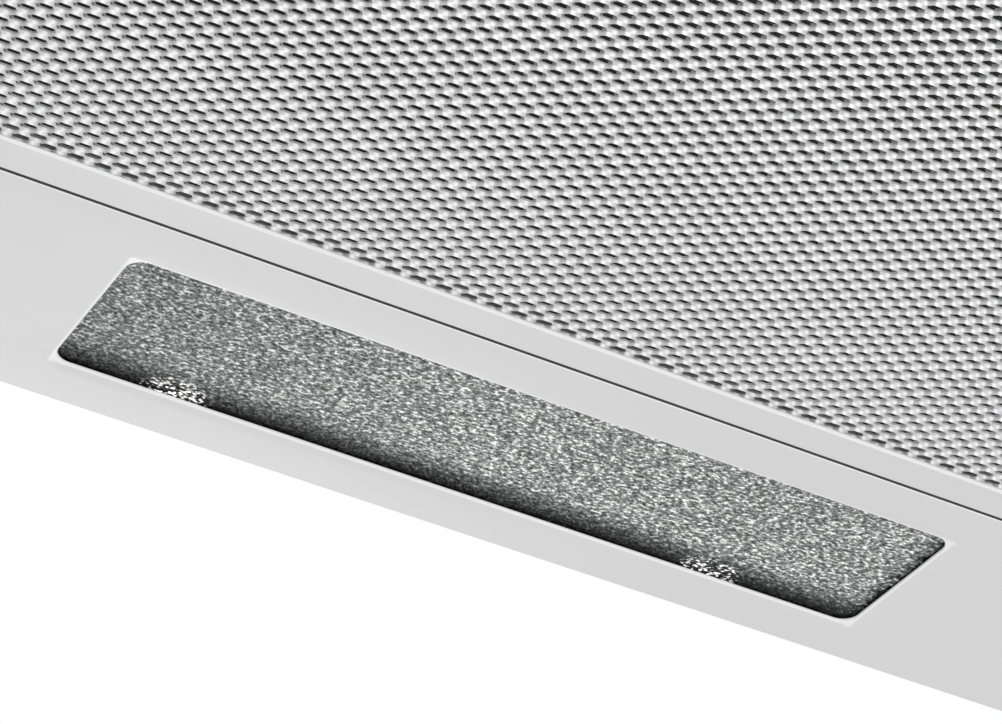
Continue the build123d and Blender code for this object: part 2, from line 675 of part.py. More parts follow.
# ======== electrical pieces ========
box_wall = 0.8
wiring_box = block((box_x0, box_x1), (box_y0, box_y1), (box_z0, box_z1))
wiring_box -= block(
    (box_x0 + box_wall, box_x1 - box_wall),
    (box_y0 + box_wall, box_y1 - box_wall),
    (box_z0, box_z1 - box_wall),
)
wiring_box -= rod_z(knockout_x, knockout_y, (box_z0, box_z1), knockout_radius)
harness_y = box_y0 + 20
harness_hole = rod_x((box_x1 - box_wall, box_x1), harness_y, box_z0 + 20, harness_radius + 1)
wiring_box -= harness_hole
nodes["wiring_box"] = wiring_box
box_cover = block((box_x0, box_x1), (box_y0, box_y1), (box_z0 - box_wall, box_z0))
for y in (box_y0 + box_wall + 0.3, box_y1 - 2 * box_wall - 0.3):
    box_cover += block((box_x0 + 4, box_x1 - 4), (y, y + box_wall), (box_z0, box_z0 + 7))
nodes["wiring_cover"] = box_cover

bushing_low = -sheet - box_wall
bushing = rod_z(knockout_x, knockout_y, (bushing_low - 5, 0), knockout_radius - 0.1)
bushing += rod_z(knockout_x, knockout_y, (0, 2.0), knockout_radius + 3)
bushing -= rod_z(knockout_x, knockout_y, (bushing_low - 5, 2.0), bushing_bore)
nodes["cable_bushing"] = bushing

terminal_base_z = box_z1 - box_wall
terminal_x = box_x0 + 6
terminal_y = (box_y0 + 14, box_y0 + 50)
terminals = block((terminal_x, terminal_x + 18), terminal_y, (terminal_base_z - 16, terminal_base_z))
for n in range(3):
    y = box_y0 + 20 + n * 12
    terminals -= rod_z(terminal_x + 9, y, (terminal_base_z - 16, terminal_base_z - 8), 3)
    terminals -= rod_x((terminal_x, terminal_x + 18), y, terminal_base_z - 11, 1.6)
nodes["terminal_block"] = terminals

capacitor_x = (-box_x1 - 10, -box_x1 + 46)
capacitor_y = rear_y - 62
capacitor_r = 17.0
capacitor_z = -2 * sheet - capacitor_r - 4
capacitor = rod_x(capacitor_x, capacitor_y, capacitor_z, capacitor_r)
capacitor = fillet(capacitor.edges().filter_by(GeomType.CIRCLE), 2)
nodes["run_capacitor"] = capacitor
clip_mid = sum(capacitor_x) / 2
clip_x = (clip_mid - 8, clip_mid + 8)
clip = rod_x(clip_x, capacitor_y, capacitor_z, capacitor_r + 1)
clip -= rod_x(clip_x, capacitor_y, capacitor_z, capacitor_r)
clip += block(clip_x, (capacitor_y - 9, capacitor_y + 9), (capacitor_z + capacitor_r + 0.6, -sheet))
nodes["capacitor_clip"] = clip

harness_z = box_z0 + 20
harness_x = inner_x - 14
switch_y = front_y + switch_body_depth + 24
harness_end_x = switch_places["light"] + 12
harness_points = [
    (box_x1 - 8, harness_y, harness_z),
    (box_x1 + 16, harness_y, harness_z),
    (harness_x, harness_y - 24, harness_z),
    (harness_x, top_front_y, harness_z - 6),
    (harness_x, switch_y + 30, switch_z),
    (harness_end_x, switch_y, switch_z),
    (harness_end_x - 30, switch_y, switch_z),
]
harness_path = FilletPolyline(*harness_points, radius=[10.0, 16.0, 30.0, 20.0, 16.0])
harness_start = Plane(origin=harness_path @ 0, z_dir=harness_path % 0)
nodes["wiring_harness"] = sweep(harness_start * Circle(harness_radius), harness_path)

# ======== casing screws: top shell and rear wall into the side walls ========
body_screws = []
shank = 1.7


def drive(keys, x, y, z, direction, length):
    """Screw with matching holes through the named sheets."""
    body_screws.append(screw(x, y, z, direction, shank, length))
    reach = rod_z(0, 0, (-length, 0.0), shank)
    hole = Plane(origin=(x, y, z), z_dir=tuple(-c for c in direction)) * reach
    for key in keys:
        nodes[key] -= hole


for sx in (-1, 1):
    wall_key = "side_wall_right" if sx > 0 else "side_wall_left"
    for y in (top_front_y + 30, rear_y - 40):
        drive(("top_shell", wall_key), sx * (half_width - 8), y, -2 * sheet, (0, 0, 1), 2 * sheet)
for sx in (-1, 1):
    for z in (rear_cut_z0 - 5, rear_cut_z1 + 5):
        x = sx * (duct_width / 2 - 30)
        drive(("rear_wall", "rear_duct_cover"), x, cover_y, z, (0, 1, 0), 2 * sheet)
nodes["casing_screws"] = group(body_screws)

os.makedirs("parts", exist_ok=True)
for name, solid in nodes.items():
    export_step(solid, f"parts/{name}.step")
print(len(nodes), "nodes")
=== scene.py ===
"""Under cabinet range hood: white painted casing, pebbled lamp lens and expanded mesh filter.

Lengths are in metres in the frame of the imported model: +X right, +Y to the wall, +Z up.
"""
from __future__ import annotations

import json
import logging
from dataclasses import dataclass
from enum import Enum
from functools import partial
from typing import Callable, Sequence

import bmesh
import bpy
import numpy as np
from mathutils import Matrix, Vector


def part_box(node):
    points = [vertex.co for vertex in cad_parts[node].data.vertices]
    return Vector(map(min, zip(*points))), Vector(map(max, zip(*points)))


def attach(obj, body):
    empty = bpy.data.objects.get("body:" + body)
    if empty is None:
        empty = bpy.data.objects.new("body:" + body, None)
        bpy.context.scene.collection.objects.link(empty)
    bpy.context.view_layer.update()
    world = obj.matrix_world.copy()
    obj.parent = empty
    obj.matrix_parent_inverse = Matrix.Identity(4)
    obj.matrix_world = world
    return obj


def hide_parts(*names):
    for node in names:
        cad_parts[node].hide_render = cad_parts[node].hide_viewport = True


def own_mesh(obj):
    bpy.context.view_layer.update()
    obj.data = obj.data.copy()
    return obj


Array = np.ndarray
Colour = tuple[float, float, float]
MM = 0.001
TINY = 1e-6
LOG = logging.getLogger("range_hood")


# ---------------------------------------------------------------- mesh helpers


def mesh_piece(name: str, points: Array, quads: Array, smooth: bool = True,
               lids: Sequence[Array] = ()) -> bpy.types.Object:
    """Makes an object at the origin from points and quads, written as whole arrays.

    Args:
        name: the piece's name.
        points: (n, 3) places in metres.
        quads: (m, 4) point numbers.
        smooth: whether its faces are shaded smooth.
        lids: further flat faces of many sides, each as point numbers.

    Returns:
        The new object, linked to the scene.
    """
    mesh = bpy.data.meshes.new(name)
    corners = np.concatenate([quads.ravel(), *lids]).astype(np.int32)
    sides = np.concatenate([np.full(len(quads), quads.shape[1]), [len(lid) for lid in lids]]).astype(np.int32)
    mesh.vertices.add(len(points))
    mesh.vertices.foreach_set("co", np.ascontiguousarray(points, np.float32).ravel())
    mesh.loops.add(len(corners))
    mesh.loops.foreach_set("vertex_index", corners)
    mesh.polygons.add(len(sides))
    mesh.polygons.foreach_set("loop_start", np.concatenate([[0], np.cumsum(sides)[:-1]]).astype(np.int32))
    mesh.polygons.foreach_set("use_smooth", np.full(len(sides), smooth))
    mesh.update(calc_edges=True)
    mesh.validate()
    piece = bpy.data.objects.new(name, mesh)
    bpy.context.scene.collection.objects.link(piece)
    return piece


def grid_quads(rows: int, columns: int, wrap_columns: bool = False) -> Array:
    """Point numbers of the quads of a grid stored row by row.

    Args:
        rows: points along the first parameter.
        columns: points along the second parameter.
        wrap_columns: whether the last column joins the first.

    Returns:
        (m, 4) point numbers.
    """
    last = columns if wrap_columns else columns - 1
    i, j = np.meshgrid(np.arange(rows - 1), np.arange(last), indexing="ij")
    beside = (j + 1) % columns
    here, above = i * columns, (i + 1) * columns
    return np.stack([here + j, here + beside, above + beside, above + j], -1).reshape(-1, 4)


def arc(centre: tuple[float, float], radius: float, start: float, stop: float, steps: int) -> Array:
    """Points of a circular arc: centre + radius * (cos a, sin a), a from start to stop degrees."""
    angle = np.radians(np.linspace(start, stop, steps + 1))
    return np.stack([centre[0] + radius * np.cos(angle), centre[1] + radius * np.sin(angle)], -1)


def at_height(flat: Array, z: float) -> Array:
    """Places in the XY plane, raised to a height."""
    return np.column_stack([flat, np.full(len(flat), z)])


def smooth_step(share: float | Array) -> float | Array:
    """Goes from 0 to 1 with level ends, as share does."""
    return share * share * (3 - 2 * share)


def solidify(piece: bpy.types.Object, thickness: float) -> None:
    """Gives a sheet its thickness, on the side behind its faces."""
    shell = piece.modifiers.new("thickness", "SOLIDIFY")
    shell.thickness = thickness
    shell.offset = -1.0
    shell.use_even_offset = True


def weld(piece: bpy.types.Object, distance: float = 0.002 * MM) -> None:
    """Merges points that lie on each other and drops points that no face uses."""
    work = bmesh.new()
    work.from_mesh(piece.data)
    bmesh.ops.remove_doubles(work, verts=work.verts, dist=distance)
    loose = [v for v in work.verts if not v.link_faces]
    bmesh.ops.delete(work, geom=loose, context="VERTS")
    work.to_mesh(piece.data)
    work.free()


@dataclass(frozen=True)
class Outline:
    """Rounded rectangle in the XY plane, walked once round, counter-clockwise seen from above."""

    x0: float
    x1: float
    y0: float
    y1: float
    radius: float
    corner_steps: int = 8
    extra_x: tuple[float, ...] = ()
    side_step: float = 0.04

    def _side(self, low: float, high: float, extra: Sequence[float]) -> Array:
        """Places along one straight side, at even steps and at the extra places."""
        count = max(2, int(round((high - low) / self.side_step)) + 1)
        inside = [value for value in extra if low < value < high]
        return np.unique(np.round(np.concatenate([np.linspace(low, high, count), inside]), 7))

    def walk(self) -> tuple[Array, Array]:
        """Places round the outline and the unit normal that points out of it at each place."""
        r = self.radius
        xs = self._side(self.x0 + r, self.x1 - r, self.extra_x)
        ys = self._side(self.y0 + r, self.y1 - r, ())
        turns = np.linspace(0, np.pi / 2, self.corner_steps + 1)[1:-1]
        parts: list[Array] = []
        outs: list[Array] = []

        def straight(px: Array, py: Array, out: tuple[float, float]) -> None:
            """Adds one straight side."""
            parts.append(np.stack(np.broadcast_arrays(px, py), -1))
            outs.append(np.tile(out, (len(parts[-1]), 1)))

        def corner(cx: float, cy: float, start: float) -> None:
            """Adds one quarter turn about (cx, cy)."""
            out = np.stack([np.cos(start + turns), np.sin(start + turns)], -1)
            parts.append(np.array([cx, cy]) + r * out)
            outs.append(out)

        straight(xs, np.array(self.y0), (0.0, -1.0))
        corner(self.x1 - r, self.y0 + r, -np.pi / 2)
        straight(np.array(self.x1), ys, (1.0, 0.0))
        corner(self.x1 - r, self.y1 - r, 0.0)
        straight(xs[::-1], np.array(self.y1), (0.0, 1.0))
        corner(self.x0 + r, self.y1 - r, np.pi / 2)
        straight(np.array(self.x0), ys[::-1], (-1.0, 0.0))
        corner(self.x0 + r, self.y0 + r, np.pi)
        return np.concatenate(parts), np.concatenate(outs)


def grow(ring: Array, out: Array, radius: float, margin: float, power: float = 2.0) -> Array:
    """Places a margin outside a rounded outline.

    At a corner, with unit direction u from the corner's centre, the place is
    centre + u * (radius + margin) / |u|_p, so power 2 keeps a round corner and infinity a square one.

    Args:
        ring: places round the outline.
        out: outward normals there.
        radius: the outline's corner radius.
        margin: how far outside.
        power: p of the formula.

    Returns:
        The places, one for each of the ring's.
    """
    grown = ring + out * margin
    corner = np.abs(out).min(1) > TINY
    turn = out[corner]
    reach = (radius + margin) / np.linalg.norm(turn, ord=power, axis=1)
    grown[corner] = ring[corner] - turn * radius + turn * reach[:, None]
    return grown


# ---------------------------------------------------------------- finishes

EVEN = (1.0, 1.0, 1.0)


class Graph:
    """Short way to lay out one material's nodes."""

    def __init__(self, name: str) -> None:
        """Starts a material with a Principled shader and Object coordinates."""
        self.material = bpy.data.materials.new(f"hood_{name}")
        self.material.use_nodes = True
        self.tree = self.material.node_tree
        self.shader = self.tree.nodes["Principled BSDF"]
        self.coordinates = self.tree.nodes.new("ShaderNodeTexCoord").outputs["Object"]

    def value(self, socket: str, value: float | Sequence[float]) -> None:
        """Sets a number or colour on the shader's own socket."""
        self.shader.inputs[socket].default_value = value

    def link(self, output: bpy.types.NodeSocket, socket: str) -> None:
        """Links an output to a socket of the shader."""
        self.tree.links.new(output, self.shader.inputs[socket])

    def mapped(self, scale: Sequence[float]) -> bpy.types.NodeSocket:
        """Object coordinates stretched by a scale for each axis."""
        node = self.tree.nodes.new("ShaderNodeMapping")
        node.inputs["Scale"].default_value = scale
        self.tree.links.new(self.coordinates, node.inputs["Vector"])
        return node.outputs["Vector"]

    def noise(self, per_metre: float, detail: float = 2.0, roughness: float = 0.5,
              stretch: Sequence[float] | None = None) -> bpy.types.NodeSocket:
        """Noise between 0 and 1 with that many features per metre."""
        node = self.tree.nodes.new("ShaderNodeTexNoise")
        node.inputs["Scale"].default_value = per_metre
        node.inputs["Detail"].default_value = detail
        node.inputs["Roughness"].default_value = roughness
        source = self.mapped(stretch) if stretch else self.coordinates
        self.tree.links.new(source, node.inputs["Vector"])
        return node.outputs["Fac"]

    def cells(self, per_metre: float, smooth: float) -> bpy.types.NodeSocket:
        """Smoothed distance to the nearest of scattered points, that many per metre."""
        node = self.tree.nodes.new("ShaderNodeTexVoronoi")
        node.feature = "SMOOTH_F1"
        node.inputs["Scale"].default_value = per_metre
        node.inputs["Smoothness"].default_value = smooth
        self.tree.links.new(self.coordinates, node.inputs["Vector"])
        return node.outputs["Distance"]

    def ramp(self, source: bpy.types.NodeSocket, low: float, high: float,
             start: float = 0.0, stop: float = 1.0) -> bpy.types.NodeSocket:
        """A number carried linearly from start..stop to low..high."""
        node = self.tree.nodes.new("ShaderNodeMapRange")
        for socket, value in (("From Min", start), ("From Max", stop), ("To Min", low), ("To Max", high)):
            node.inputs[socket].default_value = value
        self.tree.links.new(source, node.inputs["Value"])
        return node.outputs["Result"]

    def tint(self, source: bpy.types.NodeSocket, dark: Sequence[float], light: Sequence[float],
             start: float = 0.3, stop: float = 0.7) -> bpy.types.NodeSocket:
        """A colour between dark and light as the number goes from start to stop."""
        node = self.tree.nodes.new("ShaderNodeValToRGB")
        node.color_ramp.elements[0].position = start
        node.color_ramp.elements[1].position = stop
        node.color_ramp.elements[0].color = (*dark, 1.0)
        node.color_ramp.elements[1].color = (*light, 1.0)
        self.tree.links.new(source, node.inputs["Fac"])
        return node.outputs["Color"]

    def stops(self, source: bpy.types.NodeSocket, levels: Sequence[tuple[float, float]],
              tint: Sequence[float]) -> bpy.types.NodeSocket:
        """A tinted grey that goes through the given (place, level) stops."""
        node = self.tree.nodes.new("ShaderNodeValToRGB")
        for number, (place, level) in enumerate(levels):
            stop = node.color_ramp.elements[number] if number < 2 else node.color_ramp.elements.new(place)
            stop.position = place
            stop.color = (*(level * part for part in tint), 1.0)
        self.tree.links.new(source, node.inputs["Fac"])
        return node.outputs["Color"]

    def axes(self) -> tuple[bpy.types.NodeSocket, bpy.types.NodeSocket, bpy.types.NodeSocket]:
        """The x, y and z of the object's own coordinates, in metres."""
        node = self.tree.nodes.new("ShaderNodeSeparateXYZ")
        self.tree.links.new(self.coordinates, node.inputs["Vector"])
        return node.outputs["X"], node.outputs["Y"], node.outputs["Z"]

    def math(self, operation: str, first: bpy.types.NodeSocket,
             second: bpy.types.NodeSocket | float) -> bpy.types.NodeSocket:
        """One arithmetic step on two numbers."""
        node = self.tree.nodes.new("ShaderNodeMath")
        node.operation = operation
        self.tree.links.new(first, node.inputs[0])
        if isinstance(second, float):
            node.inputs[1].default_value = second
        else:
            self.tree.links.new(second, node.inputs[1])
        return node.outputs["Value"]

    def scaled(self, colour: bpy.types.NodeSocket, factor: bpy.types.NodeSocket) -> bpy.types.NodeSocket:
        """A colour made darker by a factor."""
        node = self.tree.nodes.new("ShaderNodeVectorMath")
        node.operation = "SCALE"
        self.tree.links.new(colour, node.inputs[0])
        self.tree.links.new(factor, node.inputs["Scale"])
        return node.outputs["Vector"]

    def bump(self, *heights: tuple[bpy.types.NodeSocket, float, float]) -> None:
        """Chains bumps, each given as (height, strength, depth in metres)."""
        normal = None
        for height, strength, depth in heights:
            node = self.tree.nodes.new("ShaderNodeBump")
            node.inputs["Strength"].default_value = strength
            node.inputs["Distance"].default_value = depth
            self.tree.links.new(height, node.inputs["Height"])
            if normal is not None:
                self.tree.links.new(normal, node.inputs["Normal"])
            normal = node.outputs["Normal"]
        self.link(normal, "Normal")


@dataclass(frozen=True)
class Finish:
    """A surface finish; each kind of finish lays out its own nodes in build."""

    name: str
    slot: str

    def build(self) -> bpy.types.Material:
        """Makes the material."""
        raise NotImplementedError


@dataclass(frozen=True)
class Paint(Finish):
    """Baked enamel: an even colour, a faint orange peel and a slightly uneven gloss."""

    colour: Colour = (0.78, 0.78, 0.78)
    roughness: float = 0.38
    peel: float = 0.05

    def build(self) -> bpy.types.Material:
        """Makes the material."""
        graph = Graph(self.name)
        drift = graph.noise(9.0, 3.0)
        shade = tuple(c * 0.975 for c in self.colour)
        graph.link(graph.tint(drift, shade, self.colour), "Base Color")
        gloss = graph.noise(60.0, 3.0)
        graph.link(graph.ramp(gloss, self.roughness - 0.03, self.roughness + 0.04), "Roughness")
        graph.bump((graph.noise(650.0, 1.0), self.peel, 0.00006))
        return graph.material


@dataclass(frozen=True)
class Metal(Finish):
    """Bare metal with fine scratches along one axis and cloudy tone."""

    colour: Colour = (0.62, 0.63, 0.64)
    dark: float = 0.9
    roughness: float = 0.35
    stretch: tuple[float, float, float] = (0.06, 1.0, 1.0)
    cloud: float = 40.0
    scratch: float = 0.08
    metallic: float = 1.0

    def build(self) -> bpy.types.Material:
        """Makes the material."""
        graph = Graph(self.name)
        graph.value("Metallic", self.metallic)
        clouds = graph.noise(self.cloud, 4.0, 0.6)
        shade = tuple(c * self.dark for c in self.colour)
        graph.link(graph.tint(clouds, shade, self.colour, 0.35, 0.65), "Base Color")
        hair = graph.noise(1400.0, 2.0, 0.6, self.stretch)
        graph.link(graph.ramp(hair, self.roughness - 0.06, self.roughness + 0.1), "Roughness")
        graph.bump((hair, self.scratch, 0.00003))
        return graph.material


@dataclass(frozen=True)
class Spangle(Finish):
    """Galvanised steel: crystals of zinc, each with its own tone."""

    colour: Colour = (0.6, 0.61, 0.62)
    per_metre: float = 120.0

    def build(self) -> bpy.types.Material:
        """Makes the material."""
        graph = Graph(self.name)
        graph.value("Metallic", 0.9)
        crystals = graph.tree.nodes.new("ShaderNodeTexVoronoi")
        crystals.inputs["Scale"].default_value = self.per_metre
        graph.tree.links.new(graph.coordinates, crystals.inputs["Vector"])
        tone = crystals.outputs["Color"]
        shade = tuple(c * 0.78 for c in self.colour)
        graph.link(graph.tint(tone, shade, self.colour, 0.2, 0.8), "Base Color")
        graph.link(graph.ramp(tone, 0.32, 0.55), "Roughness")
        graph.bump((graph.noise(900.0, 2.0), 0.06, 0.00005))
        return graph.material


@dataclass(frozen=True)
class Moulded(Finish):
    """Moulded plastic or rubber with a fine grain."""

    colour: Colour = (0.03, 0.03, 0.032)
    roughness: float = 0.5
    grain: float = 0.15
    coat: float = 0.0

    def build(self) -> bpy.types.Material:
        """Makes the material."""
        graph = Graph(self.name)
        light = tuple(min(1.0, c * 1.15 + 0.004) for c in self.colour)
        graph.link(graph.tint(graph.noise(25.0, 3.0), self.colour, light), "Base Color")
        grain = graph.noise(1800.0, 3.0, 0.6)
        graph.link(graph.ramp(grain, self.roughness - 0.05, self.roughness + 0.08), "Roughness")
        graph.value("Coat Weight", self.coat)
        graph.bump((grain, self.grain, 0.00004))
        return graph.material


@dataclass(frozen=True)
class Pebbled(Finish):
    """Pebbled lens: mottled grey with bright pebbles, with painted shade where its upturned walls stand, and
    painted glints.

    The painted shade fades with distance from the front and left edges of the opening, with an uneven border,
    and darkens towards the +X end. The bright pebbles glow as painted glints, most of all before each lamp.
    """

    tint: Colour = (0.94, 1.0, 0.97)
    per_metre: float = 880.0
    levels: tuple[tuple[float, float], ...] = (
        (0.35, 0.03), (0.44, 0.17), (0.52, 0.37), (0.59, 0.64), (0.66, 1.0))
    lap: float = 6.0 * MM
    # Widths of the painted shade along the front and left edges.
    front_shade_band: float = 15.0 * MM
    side_shade_band: float = 6.0 * MM
    ripple: float = 2.2 * MM
    lamp_x: float = 100.0 * MM
    lamp_shift: float = 7.5 * MM
    lamp_y: float = 2.0 * MM
    lamp_spread: tuple[float, float] = (13.0 * MM, 8.5 * MM)
    # Emission strengths of the painted glints: before the lamps, and on the bright pebbles elsewhere.
    lamp_glint_strength: float = 2.2
    glint: float = 0.4
    # Painted shade towards the +X end: its darkest level and the x span it fades over.
    end_shade: float = 0.66
    end_span: tuple[float, float] = (20.0 * MM, 150.0 * MM)

    def build(self) -> bpy.types.Material:
        """Makes the material: rounded pebbles of two sizes pressed in its face, painted shade and painted
        glints.
        """
        graph = Graph(self.name)
        low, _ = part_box("lamp_lens")
        x_edge, y_edge = low[0] + self.lap, low[1] + self.lap
        grain = graph.noise(self.per_metre, 2.5, 0.62, (0.7, 1.0, 1.0))
        x, y, _ = graph.axes()
        # Painted shade along the front and left edges and towards the +X end, multiplied into the mottle.
        shade = self._painted_shade(graph, x, y, x_edge, y_edge)
        graph.link(graph.scaled(graph.stops(grain, self.levels, self.tint), shade), "Base Color")
        # The painted shade also lowers the specular level.
        graph.link(graph.ramp(shade, 0.04, 0.5), "Specular IOR Level")
        # Painted glints: the bright pebbles glow, most before each lamp and less in the unshaded rest of the
        # lens.
        lit = graph.math("MULTIPLY", self._lamp_glint_spot(graph, x, y, y_edge),
                         graph.ramp(grain, 0.0, self.lamp_glint_strength, 0.52, 0.68))
        glints = graph.math("MULTIPLY", graph.ramp(grain, 0.0, self.glint, 0.54, 0.68), shade)
        graph.value("Emission Color", (1.0, 1.0, 1.0, 1.0))
        graph.link(graph.math("ADD", lit, glints), "Emission Strength")
        graph.value("Transmission Weight", 0.15)
        graph.value("IOR", 1.49)
        graph.link(graph.ramp(graph.noise(900.0), 0.10, 0.28), "Roughness")
        graph.bump((graph.cells(self.per_metre, 0.6), 1.0, -0.45 * MM), (grain, 0.7, 0.3 * MM))
        return graph.material

    def _painted_shade(self, graph: Graph, x: bpy.types.NodeSocket, y: bpy.types.NodeSocket, x_edge: float,
               y_edge: float) -> bpy.types.NodeSocket:
        """Painted shade of the lens, 1 where unshaded: the product of its front (twice), side and far (+X)
        end shares.
        """
        # Uneven border of the painted shade.
        ripple = graph.ramp(graph.noise(420.0, 1.0), -self.ripple, self.ripple, 0.3, 0.7)
        front = graph.ramp(graph.math("ADD", y, ripple), 0.0, 1.0, y_edge + 0.05 * self.front_shade_band,
                           y_edge + self.front_shade_band)
        side = graph.ramp(graph.math("ADD", x, ripple), 0.0, 1.0, x_edge, x_edge + self.side_shade_band)
        edges = graph.math("MULTIPLY", graph.math("MULTIPLY", front, side), front)
        ends = graph.ramp(x, 1.0, self.end_shade, *self.end_span)
        return graph.math("MULTIPLY", graph.ramp(edges, 0.02, 1.0), ends)

    def _lamp_glint_spot(self, graph: Graph, x: bpy.types.NodeSocket, y: bpy.types.NodeSocket,
                    y_edge: float) -> bpy.types.NodeSocket:
        """Painted glint strength: 1 before a lamp's middle, falling with the square of the distance to 0 at
        its spread.
        """
        spread_x, spread_y = self.lamp_spread
        middle_y = y_edge + self.lamp_y
        sideways = graph.math("ABSOLUTE", graph.math("SUBTRACT", x, self.lamp_shift), 0.0)
        across = graph.ramp(sideways, -1.0, 1.0, self.lamp_x - spread_x, self.lamp_x + spread_x)
        along = graph.ramp(y, -1.0, 1.0, middle_y - spread_y, middle_y + spread_y)
        squares = [graph.math("MULTIPLY", part, part) for part in (across, along)]
        return graph.ramp(graph.math("ADD", *squares), 1.0, 0.0)


@dataclass(frozen=True)
class Glow(Finish):
    """Lit cover of a lamp."""

    colour: Colour = (1.0, 0.97, 0.9)
    strength: float = 20.0

    def build(self) -> bpy.types.Material:
        """Makes the material."""
        graph = Graph(self.name)
        shade = tuple(c * 0.9 for c in self.colour)
        graph.link(graph.tint(graph.noise(400.0), shade, self.colour), "Base Color")
        graph.value("Emission Color", (*self.colour, 1.0))
        graph.value("Emission Strength", self.strength)
        graph.value("Roughness", 0.3)
        return graph.material


class Finishes(Enum):
    """The finishes of the hood's pieces."""

    WHITE_PAINT = Paint("white_enamel", "white_paint")
    # Painted highlight: a lighter, glossier copy of the white paint for bent and turned edges.
    EDGE_PAINT = Paint("edge_highlight_enamel", "white_paint", colour=(0.97, 0.97, 0.97), roughness=0.24,
                       peel=0.03)
    # Painted shade: near-black paint for the faces inside the seam gap.
    SEAM_PAINT = Paint("seam_shade_enamel", "white_paint", colour=(0.045, 0.045, 0.045), roughness=0.6)
    GALVANISED = Spangle("galvanised_steel", "galvanised")
    MESH = Metal("mesh_aluminium", "mesh_aluminium", colour=(0.93, 0.93, 0.93), dark=0.95, roughness=0.48,
                 stretch=EVEN, cloud=60.0, scratch=0.06, metallic=0.55)
    # Painted shade: darker copies of the mesh aluminium for the layers seen deeper through the openings.
    MESH_DEEP = Metal("shaded_mesh_aluminium", "mesh_aluminium", colour=(0.7, 0.7, 0.7), roughness=0.55,
                      stretch=EVEN, cloud=60.0, scratch=0.1, metallic=0.5)
    MESH_DARK = Metal("heavy_shade_mesh_aluminium", "mesh_aluminium", colour=(0.1, 0.1, 0.1), roughness=0.6,
                      stretch=EVEN, cloud=60.0, scratch=0.1)
    # The lens finish carries painted shade and painted glints.
    LENS = Pebbled("pebbled_lens", "pebbled_lens")
    BLACK_PLASTIC = Moulded("black_plastic", "black_plastic")
    WHITE_PLASTIC = Moulded("white_plastic", "white_plastic", colour=(0.74, 0.74, 0.73), roughness=0.32,
                            grain=0.08, coat=0.2)
    ZINC = Metal("zinc_plated_steel", "zinc_steel", colour=(0.68, 0.68, 0.69), dark=0.88, roughness=0.3,
                 stretch=(1.0, 1.0, 0.2), cloud=200.0, scratch=0.06)
    RUBBER = Moulded("black_rubber", "black_rubber", colour=(0.025, 0.025, 0.025), roughness=0.75, grain=0.3)
    MOTOR_PAINT = Paint("motor_enamel", "motor_paint", colour=(0.05, 0.05, 0.055), roughness=0.42, peel=0.2)
    BRONZE = Metal("sintered_bronze", "bronze", colour=(0.62, 0.42, 0.2), dark=0.8, roughness=0.45,
                   stretch=EVEN, cloud=300.0, scratch=0.2)
    LAMP_BODY = Metal("lamp_aluminium", "lamp_housing", colour=(0.72, 0.72, 0.72), dark=0.85, roughness=0.4,
                      stretch=EVEN, cloud=200.0, scratch=0.1)
    LAMP_COVER = Glow("lamp_cover", "lamp_cover")
    SLEEVE = Moulded("harness_sleeve", "harness_sleeve", colour=(0.05, 0.05, 0.055), roughness=0.6, grain=0.3)
    SPRING = Metal("spring_steel", "spring_steel", colour=(0.5, 0.5, 0.52), dark=0.85, roughness=0.3,
                   stretch=(1.0, 0.2, 1.0), cloud=300.0, scratch=0.08)

    def material(self) -> bpy.types.Material:
        """The finish's material, made the first time it is asked for."""
        return bpy.data.materials.get(f"hood_{self.value.name}") or self.value.build()


def dress(piece: bpy.types.Object, finish: Finishes) -> None:
    """Puts one finish on the whole of a piece."""
    piece.data.materials.clear()
    piece.data.materials.append(finish.material())


def dress_faces(piece: bpy.types.Object, finish: Finishes, chosen: Callable[..., Array]) -> None:
    """Gives some faces of a dressed piece a finish of their own.

    Args:
        piece: the piece.
        finish: the finish of the chosen faces.
        chosen: tells which faces they are from x, y and z of their centres and z of their normals.
    """
    mesh = piece.data
    mesh.materials.append(finish.material())
    centres, normals = (np.empty(len(mesh.polygons) * 3) for _ in range(2))
    mesh.polygons.foreach_get("center", centres)
    mesh.polygons.foreach_get("normal", normals)
    index = np.empty(len(mesh.polygons), np.int32)
    mesh.polygons.foreach_get("material_index", index)
    index[chosen(*centres.reshape(-1, 3).T, normals[2::3])] = len(mesh.materials) - 1
    mesh.polygons.foreach_set("material_index", index)


def place(piece: bpy.types.Object, body: str, node: str) -> bpy.types.Object:
    """Lets a finished piece ride on a body in place of a CAD node, and reports it."""
    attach(piece, body)
    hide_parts(node)
    LOG.info("%s: %d faces, on %s, for %s", piece.name, len(piece.data.polygons), body, node)
    return piece


# ---------------------------------------------------------------- underside


Cut = tuple[float, float, float, float, bool]


